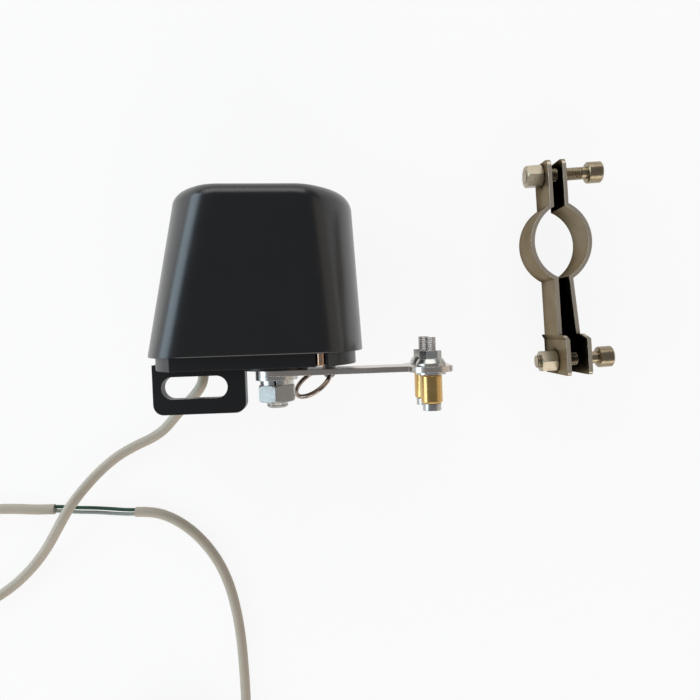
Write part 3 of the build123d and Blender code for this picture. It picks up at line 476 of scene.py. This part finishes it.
@dataclass(frozen=True)
class Housing:
    """Domed housing, in millimetres: a leaning cone, clipped by a flat front and back."""

    base_y: float = -25.3
    middle_z: float = 28.3
    low_radius: float = 40.1
    low_centre: float = -7.0
    high_radius: float = 32.6
    high_centre: float = -2.2
    roof_y: float = 33.8
    slant: float = 1.8
    rounding: float = 6.3
    facet_rounding: float = 14.0
    wall: float = 2.5
    roof_hollow: float = 4.5
    ceiling_drop: float = 2.0
    rim_round: tuple[Point, ...] = ((0.55, 0.55, 0.0), (0.16, 0.16, 0.16))
    least_corner: float = 0.05
    least_share: float = 0.01
    flat_steps: int = 7
    corner_steps: int = 12
    round_steps: int = 16
    side_steps: int = 14
    edge_steps: int = 12
    hollow_steps: int = 6

    @property
    def height(self) -> float:
        """Height of the housing above its lower rim, on its middle line."""
        return self.roof_y - self.base_y

    @property
    def taper(self) -> float:
        """Lean of the round side from upright, in radians."""
        return math.atan((self.low_radius - self.high_radius) / self.height)

    def outline(self, share: float, inset: float, flat_inset: float, lift: float = 0.0) -> list[Point]:
        """One ring of the housing's surface.

        Args:
            share: Place between the rim, 0, and the roof, 1.
            inset: How far the ring lies inside the round side.
            flat_inset: How far it lies inside the flat front and back.
            lift: How far above its place it lies.

        Returns:
            Points around the ring, in metres.
        """
        radius = self.low_radius + (self.high_radius - self.low_radius) * share - inset
        centre = self.low_centre + (self.high_centre - self.low_centre) * share
        flat = self.middle_z - flat_inset
        corner = max(self.facet_rounding - flat_inset, self.least_corner)
        reach = math.sqrt((radius - corner) ** 2 - (flat - corner) ** 2)
        turn = math.atan2(flat - corner, reach)
        square = math.radians(90)
        quarter = [(reach * (1 - step / self.flat_steps), flat) for step in range(self.flat_steps, 0, -1)]
        quarter += [(reach + corner * math.sin(angle), flat - corner + corner * math.cos(angle))
                    for angle in (square * step / self.corner_steps * (1 - turn / square)
                                  for step in range(self.corner_steps))]
        quarter += [(radius * math.cos(angle), radius * math.sin(angle))
                    for angle in (turn * (1 - step / self.round_steps)
                                  for step in range(self.round_steps + 1))]
        half = [(-x, z) for x, z in reversed(quarter[1:])] + quarter
        ring = [(centre + x, z) for x, z in half] + [(centre + x, -z) for x, z in reversed(half[1:-1])]
        return [self._place(x, z, share, lift) for x, z in ring]

    def outside(self) -> list[list[Point]]:
        """Trace the outer surface, from the rim up and over the rounded roof edge.

        Returns:
            Rings of points in metres.
        """
        level = 1 - self.rounding / self.height
        top = level + self.rounding * math.sin(self.taper) / self.height
        rings = [self.outline(0.0, *round_off) for round_off in self.rim_round]
        rings += [self.outline(max(top * step / self.side_steps, self.least_share), 0.0, 0.0)
                  for step in range(self.side_steps + 1)]
        for step in range(1, self.edge_steps + 1):
            angle = self.taper + (math.pi / 2 - self.taper) * step / self.edge_steps
            inset = self.rounding * (1 / math.cos(self.taper) - math.cos(angle))
            flat_inset = self.rounding * (1 - math.cos(math.pi / 2 * step / self.edge_steps))
            rings.append(self.outline(level, inset, flat_inset, self.rounding * math.sin(angle)))
        return rings

    def inside(self) -> list[list[Point]]:
        """Trace the hollow's surface, from the roof down to the rim.

        Returns:
            Rings of points in metres.
        """
        top = 1 - (self.wall + self.ceiling_drop) / self.height
        edge = self.wall + self.roof_hollow
        return [self.outline(1.0, edge, edge, -self.wall)] + [
            self.outline(top * (1 - step / self.hollow_steps), self.wall, self.wall)
            for step in range(self.hollow_steps + 1)]

    def _place(self, x: float, z: float, share: float, lift: float) -> Point:
        """Give an outline point its height under the slanted roof.

        Args:
            x: Place along the lever arm's direction, in millimetres.
            z: Place from the middle plane, in millimetres.
            share: Place between the rim, 0, and the roof, 1.
            lift: How far above its place it lies, in millimetres.

        Returns:
            The point in metres.
        """
        roof = self.roof_y - (x - self.high_centre) * math.tan(math.radians(self.slant))
        y = self.base_y + (roof - self.base_y) * share + lift
        return (x * MM, y * MM, (self.middle_z + z) * MM)


@dataclass(frozen=True)
class HexNut:
    """Nut on an axis along Y with a corner towards Z, in millimetres."""

    middle: Point
    across: float
    height: float
    bore: float
    chamfer: float = 30.0
    crown_share: float = 0.97
    around: int = 72

    def rings(self) -> list[list[Point]]:
        """Outlines from the bore's low end, round the outside, to its high end.

        Returns:
            Rings of points in metres.
        """
        crown = self.across / 2 * self.crown_share
        slope = math.tan(math.radians(self.chamfer))
        half = self.height / 2
        flush, low_crown, low_corner, high_corner, high_crown, top = ([] for _ in range(6))
        for step in range(self.around):
            angle = 2 * math.pi * step / self.around
            from_flat = (angle % (math.pi / 3)) - math.pi / 6
            hexagon = self.across / 2 / math.cos(from_flat)
            drop = (hexagon - crown) * slope
            flush.append(self._at(self.bore, angle, -half))
            low_crown.append(self._at(crown, angle, -half))
            low_corner.append(self._at(hexagon, angle, drop - half))
            high_corner.append(self._at(hexagon, angle, half - drop))
            high_crown.append(self._at(crown, angle, half))
            top.append(self._at(self.bore, angle, half))
        return [flush, low_crown, low_corner, high_corner, high_crown, top]

    def _at(self, radius: float, angle: float, along: float) -> Point:
        """Place a point of the nut in metres."""
        return ((self.middle[0] + radius * math.sin(angle)) * MM, (self.middle[1] + along) * MM,
                (self.middle[2] + radius * math.cos(angle)) * MM)


@dataclass(frozen=True)
class ReturnSpring:
    """Coil spring around the release pin, in millimetres. Its outer size comes from the CAD node."""

    wire: float = 0.35
    seat: float = 1.1
    turns: float = 3.0
    per_turn: int = 28
    around: int = 10
    travel: float = 3.2


class Actuator:
    """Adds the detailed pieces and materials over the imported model."""

    NUT = HexNut(middle=(0.0, -40.7, 28.3), across=13.0, height=6.5, bore=4.05)
    SPRING = ReturnSpring()
    HOUSING = Housing()

    def __init__(self, frame: dict) -> None:
        """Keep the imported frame.
        """
        self.frame = frame
        self.shop = MaterialShop()

    def dress_nodes(self) -> None:
        """Give every CAD node its procedural material."""
        for key, nodes in NODE_FINISHES.items():
            for node in nodes:
                for holder in self.frame["nodes"][node].material_slots:
                    holder.material = self.shop.get(key)
            LOG.info("%s: %s", key, ", ".join(nodes))

    def stud_nut(self) -> bpy.types.Object:
        """Build the lever's hexagon nut with its chamfered corners.

        Returns:
            The nut object.
        """
        piece = Piece("lever_nut", self.shop)
        piece.rings(self.NUT.rings(), closed_ends=False, loop=True)
        return piece.build("nut", Body.OUTPUT, "steel", ["stud_nut"], sharp=20.0)

    def clutch_spring(self) -> bpy.types.Object:
        """Wind the spring under the clutch yoke at its rest length; the real spring shortens as the ring is
        pulled.

        Returns:
            The spring object.
        """
        sizes = self.SPRING
        low, high = (Vector(corner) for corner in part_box("clutch_spring"))
        middle = (low + high) / 2
        wire = sizes.wire * MM
        run = high.y - low.y - 2 * sizes.seat * wire
        start = Vector((high.x - wire, low.y + sizes.seat * wire, middle.z))
        steps = round(sizes.turns * sizes.per_turn)
        piece = Piece("clutch_return_spring", self.shop)
        bmesh.ops.create_circle(piece.mesh, cap_ends=True, segments=sizes.around, radius=wire,
                                matrix=Matrix.Translation(start))
        bmesh.ops.spin(piece.mesh, geom=piece.mesh.verts[:] + piece.mesh.edges[:] + piece.mesh.faces[:],
                       cent=middle, axis=(0.0, 1.0, 0.0), dvec=(0.0, run / steps, 0.0),
                       angle=2 * math.pi * sizes.turns, steps=steps, use_merge=False)
        spring = piece.build("steel", Body.FRAME, "steel", ["clutch_spring"])
        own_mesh(spring)
        return spring

    def housing(self) -> bpy.types.Object:
        """Build the hollow domed housing with rounded roof and facet edges.

        Returns:
            The housing object.
        """
        piece = Piece("housing_dome", self.shop)
        piece.rings([*reversed(self.HOUSING.outside()), *reversed(self.HOUSING.inside())], closed_ends=True)
        return piece.build("shell", Body.FRAME, "black_shell", ["housing_shell"], sharp=50.0)


CORD_MAIN: tuple[Point, ...] = (
    (-31.0, -32.2, 12.0), (-31.0, -35.9, 12.0), (-33.6, -40.4, 10.9), (-37.9, -44.6, 8.8),
    (-42.3, -48.6, 6.6),
    (-46.2, -52.7, 4.6), (-50.2, -56.9, 3.2), (-55.4, -60.3, 2.5), (-62.4, -63.2, 2.2), (-70.2, -67.2, 2.3),
    (-77.4, -72.8, 3.0), (-83.6, -79.3, 5.0), (-88.6, -85.7, 7.6), (-92.4, -91.7, 7.9), (-96.6, -98.2, 6.2),
    (-101.8, -105.6, 3.4), (-108.6, -113.8, 2.3), (-117.6, -121.8, 2.2), (-128.6, -128.2, 2.2),
    (-141.0, -130.2, 2.2), (-152.0, -124.8, 2.2), (-157.8, -113.8, 2.2), (-155.8, -101.6, 2.2),
    (-147.2, -92.8, 2.2), (-135.6, -88.8, 2.2), (-123.8, -87.9, 2.2), (-113.4, -88.2, 2.2),
    (-105.2, -89.0, 2.1),
    (-97.9, -89.0, 2.1),
)
CORD_TAIL: tuple[Point, ...] = (
    (-64.0, -91.6, 2.1), (-57.2, -91.6, 2.1), (-49.2, -94.4, 2.1), (-41.6, -99.6, 2.1), (-35.0, -106.6, 2.1),
    (-29.6, -115.0, 2.1), (-25.8, -124.6, 2.1), (-23.4, -135.2, 2.2), (-21.9, -146.6, 2.3),
    (-21.2, -159.4, 2.4), (-20.9, -172.6, 2.5), (-21.0, -184.6, 2.6),
)
CORE_GREEN: tuple[Point, ...] = (
    (-97.9, -88.1, 1.7), (-94.9, -88.1, 1.7), (-89.6, -88.9, 1.4), (-81.6, -89.4, 0.95), (-73.6, -90.2, 0.95),
    (-67.2, -90.7, 1.7), (-64.0, -90.7, 1.7),
)
CORE_WHITE: tuple[Point, ...] = (
    (-97.9, -89.9, 1.7), (-94.7, -89.9, 1.7), (-89.2, -90.9, 1.3), (-81.2, -91.3, 0.95), (-73.2, -92.2, 0.95),
    (-67.4, -92.5, 1.7), (-64.0, -92.5, 1.7),
)


@dataclass(frozen=True)
class Coil:
    """Put-away coil in two layers, in millimetres, wound clockwise from above."""

    centre: tuple[float, float] = (-51.5, -206.0)
    mean: float = 23.0
    pitch: float = 4.7
    turns: float = 2.5
    low: float = 2.7
    plug_run: float = 23.0
    quarter: float = 0.25
    per_turn: int = 16
    swell: float = 1.008

    def points(self) -> list[Point]:
        """Route of the coil and of the straight run to the plug.

        Returns:
            Control points in millimetres.
        """
        inner = self.mean - self.pitch * self.turns / 2
        middle = self.turns + self.quarter
        last_turn = 2 * self.turns + self.quarter
        route: list[Point] = []
        for index in range(round(last_turn * self.per_turn) + 1):
            along = index / self.per_turn
            radius = (inner + self.pitch * abs(along - middle)) * self.swell
            angle = -2 * math.pi * along
            climb = min(max((along - middle) * 2 + 0.5, 0.0), 1.0)
            route.append((self.centre[0] + radius * math.cos(angle),
                          self.centre[1] + radius * math.sin(angle), self.low + self.pitch * climb))
        end = Vector((self.centre[0], self.centre[1] - inner - self.pitch * (last_turn - middle),
                      self.low + self.pitch))
        heading = Vector((-1.0, -self.pitch / (2 * math.pi * (self.centre[1] - end.y)), 0.0)).normalized()
        route[-1] = tuple(end)
        route += [tuple(end + heading * self.plug_run * share) for share in (0.5, 1.0)]
        return route


class Leads:
    """Builds the lead's sheath and cores as smooth splines, with radii in millimetres."""

    SHEATH_RADIUS, CORE_RADIUS = 2.1, 0.75
    ROUNDNESS, SMOOTHNESS = 6, 8

    def __init__(self, shop: MaterialShop) -> None:
        """Keep the material shop.

        Args:
            shop: Source of materials.
        """
        self.shop = shop

    def spline(self, name: str, route: Sequence[Point], radius: float, finish: str,
               replaces: Sequence[str]) -> bpy.types.Object:
        """Build one round lead along a route.

        Args:
            name: Object name.
            route: Control points in millimetres.
            radius: Radius of the lead in millimetres.
            finish: Name in FINISHES.
            replaces: CAD nodes that it stands for.

        Returns:
            The curve object.
        """
        curve = bpy.data.curves.new(name, "CURVE")
        curve.dimensions = "3D"
        curve.bevel_depth = radius * MM
        curve.bevel_resolution = self.ROUNDNESS
        curve.resolution_u = self.SMOOTHNESS
        curve.use_fill_caps = True
        line = curve.splines.new("NURBS")
        line.points.add(len(route) - 1)
        for point, place in zip(line.points, route):
            point.co = (*(value * MM for value in place), 1.0)
        line.order_u = 3
        line.use_endpoint_u = True
        line.use_smooth = True
        curve.materials.append(self.shop.get(finish))
        lead = bpy.data.objects.new(name, curve)
        bpy.context.scene.collection.objects.link(lead)
        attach(lead, Body.FRAME.value)
        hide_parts(*replaces)
        return lead

    def build(self) -> list[bpy.types.Object]:
        """Returns:
            The four curve objects.
        """
        main = self.spline("lead_main", CORD_MAIN, self.SHEATH_RADIUS, "sheath",
                           ["cord_main"])
        cores = []
        for name, route, side in (("lead_core_green", CORE_GREEN, "core_green"),
                                  ("lead_core_white", CORE_WHITE, "core_white")):
            core = self.spline(name, route, self.CORE_RADIUS, side, [side])
            cores.append(core)
        tail = self.spline("lead_tail", CORD_TAIL + tuple(Coil().points()), self.SHEATH_RADIUS, "sheath",
                           ["cord_tail", "cord_coil"])
        return [main, *cores, tail]


@dataclass(frozen=True)
class Softbox:
    """One soft light of the studio, in metres."""

    name: str
    place: Point
    aim: Point
    width: float
    height: float
    power: float
    colour: Colour


class Studio:
    """Pale floor, soft lights and the camera at the photograph's place."""

    LIGHTS: tuple[Softbox, ...] = (
        Softbox("window", (-0.98, 0.12, 0.30), (-0.02, 0.0, 0.02), 1.3, 0.55, 8.0, (0.70, 0.87, 1.0)),
        Softbox("top", (-0.10, 0.98, 0.46), (0.0, 0.0, 0.0), 1.3, 0.6, 5.2, (1.0, 0.99, 0.97)),
        Softbox("right", (0.98, -0.05, 0.36), (0.05, 0.0, 0.0), 1.1, 0.6, 1.1, (1.0, 0.86, 0.70)),
        Softbox("low", (0.05, -0.98, 0.44), (0.0, -0.02, 0.0), 1.3, 0.55, 5.5, (1.0, 0.96, 0.91)),
    )

    GLOW = 0.89
    TABLE_HALF_WIDTH = 12.0
    TABLE_COLOUR: Colour = (0.93, 0.93, 0.93)
    TABLE_ROUGHNESS, TABLE_SPECULAR = 0.9, 0.1
    FILL_COLOUR: Colour = (0.90, 0.93, 1.0)
    FILL_STRENGTH = 0.27
    CAMERA_PLACE: Point = (0.0238, -0.0167, 0.2794)
    YAW_PITCH_ROLL: Point = (1.04, -1.99, -2.01)
    LENS, SENSOR, NEAREST = 33.82, 36.0, 0.01

    def floor(self) -> None:
        """Lay the white table, whose own glow only the camera and reflections see."""
        data = bpy.data.meshes.new("table")
        sheet = bmesh.new()
        bmesh.ops.create_grid(sheet, x_segments=2, y_segments=2, size=self.TABLE_HALF_WIDTH)
        sheet.to_mesh(data)
        sheet.free()
        material = bpy.data.materials.new("pale_table")
        material.use_nodes = True
        shader = material.node_tree.nodes["Principled BSDF"]
        shader.inputs["Base Color"].default_value = (*self.TABLE_COLOUR, 1.0)
        shader.inputs["Roughness"].default_value = self.TABLE_ROUGHNESS
        shader.inputs["Specular IOR Level"].default_value = self.TABLE_SPECULAR
        nodes, links = material.node_tree.nodes, material.node_tree.links
        path = nodes.new("ShaderNodeLightPath")
        seen = nodes.new("ShaderNodeMath")
        seen.operation = "MAXIMUM"
        links.new(path.outputs["Is Camera Ray"], seen.inputs[0])
        links.new(path.outputs["Is Glossy Ray"], seen.inputs[1])
        share = nodes.new("ShaderNodeMath")
        share.operation = "MULTIPLY"
        share.inputs[1].default_value = self.GLOW
        links.new(seen.outputs["Value"], share.inputs[0])
        glow = nodes.new("ShaderNodeEmission")
        blend = nodes.new("ShaderNodeMixShader")
        links.new(share.outputs["Value"], blend.inputs["Fac"])
        links.new(shader.outputs["BSDF"], blend.inputs[1])
        links.new(glow.outputs["Emission"], blend.inputs[2])
        links.new(blend.outputs["Shader"], nodes["Material Output"].inputs["Surface"])
        data.materials.append(material)
        table = bpy.data.objects.new("table", data)
        bpy.context.scene.collection.objects.link(table)

    def lights(self) -> None:
        """Hang the softboxes."""
        for box in self.LIGHTS:
            light = bpy.data.lights.new(box.name, "AREA")
            light.shape = "RECTANGLE"
            light.size, light.size_y = box.width, box.height
            light.energy = box.power
            light.color = box.colour
            lamp = bpy.data.objects.new(box.name, light)
            lamp.location = box.place
            lamp.rotation_euler = (Vector(box.aim) - Vector(box.place)).to_track_quat("-Z", "Y").to_euler()
            bpy.context.scene.collection.objects.link(lamp)

    def fill(self) -> None:
        """Set the world's soft fill, which the camera sees as pale grey, and the plain view transform."""
        world = bpy.data.worlds.new("studio")
        world.use_nodes = True
        nodes, links = world.node_tree.nodes, world.node_tree.links
        fill = nodes["Background"]
        fill.inputs["Color"].default_value = (*self.FILL_COLOUR, 1.0)
        fill.inputs["Strength"].default_value = self.FILL_STRENGTH
        backdrop = nodes.new("ShaderNodeBackground")
        path = nodes.new("ShaderNodeLightPath")
        chosen = nodes.new("ShaderNodeMixShader")
        links.new(path.outputs["Is Camera Ray"], chosen.inputs["Fac"])
        links.new(fill.outputs["Background"], chosen.inputs[1])
        links.new(backdrop.outputs["Background"], chosen.inputs[2])
        links.new(chosen.outputs["Shader"], nodes["World Output"].inputs["Surface"])
        bpy.context.scene.world = world
        bpy.context.scene.view_settings.view_transform = "Standard"

    def camera(self) -> None:
        """Put the camera where the photograph was taken from."""
        yaw, pitch, roll = (math.radians(angle) for angle in self.YAW_PITCH_ROLL)
        forward = Vector((math.sin(yaw) * math.cos(pitch), math.sin(pitch), -math.cos(yaw) * math.cos(pitch)))
        level_right = Vector((math.cos(yaw), 0.0, math.sin(yaw)))
        level_up = level_right.cross(forward)
        right = level_right * math.cos(roll) + level_up * math.sin(roll)
        up = level_up * math.cos(roll) - level_right * math.sin(roll)
        data = bpy.data.cameras.new("camera")
        data.sensor_width = self.SENSOR
        data.lens = self.LENS
        data.clip_start = self.NEAREST
        camera = bpy.data.objects.new("camera", data)
        turn = Matrix((right, up, -forward)).transposed().to_4x4()
        camera.matrix_world = Matrix.Translation(self.CAMERA_PLACE) @ turn
        bpy.context.scene.collection.objects.link(camera)
        bpy.context.scene.camera = camera


def main() -> None:
    """Build the whole scene."""
    logging.basicConfig(level=logging.INFO)
    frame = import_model()
    actuator = Actuator(frame)
    actuator.dress_nodes()
    for piece in (actuator.housing(), actuator.stud_nut(), actuator.clutch_spring()):
        LOG.info("%s: %d faces", piece.name, len(piece.data.polygons))
    for lead in Leads(actuator.shop).build():
        LOG.info("%s: %d points", lead.name, len(lead.data.splines[0].points))
    studio = Studio()
    studio.floor()
    studio.lights()
    studio.fill()
    studio.camera()
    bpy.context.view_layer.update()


if __name__ == "__main__":
    main()
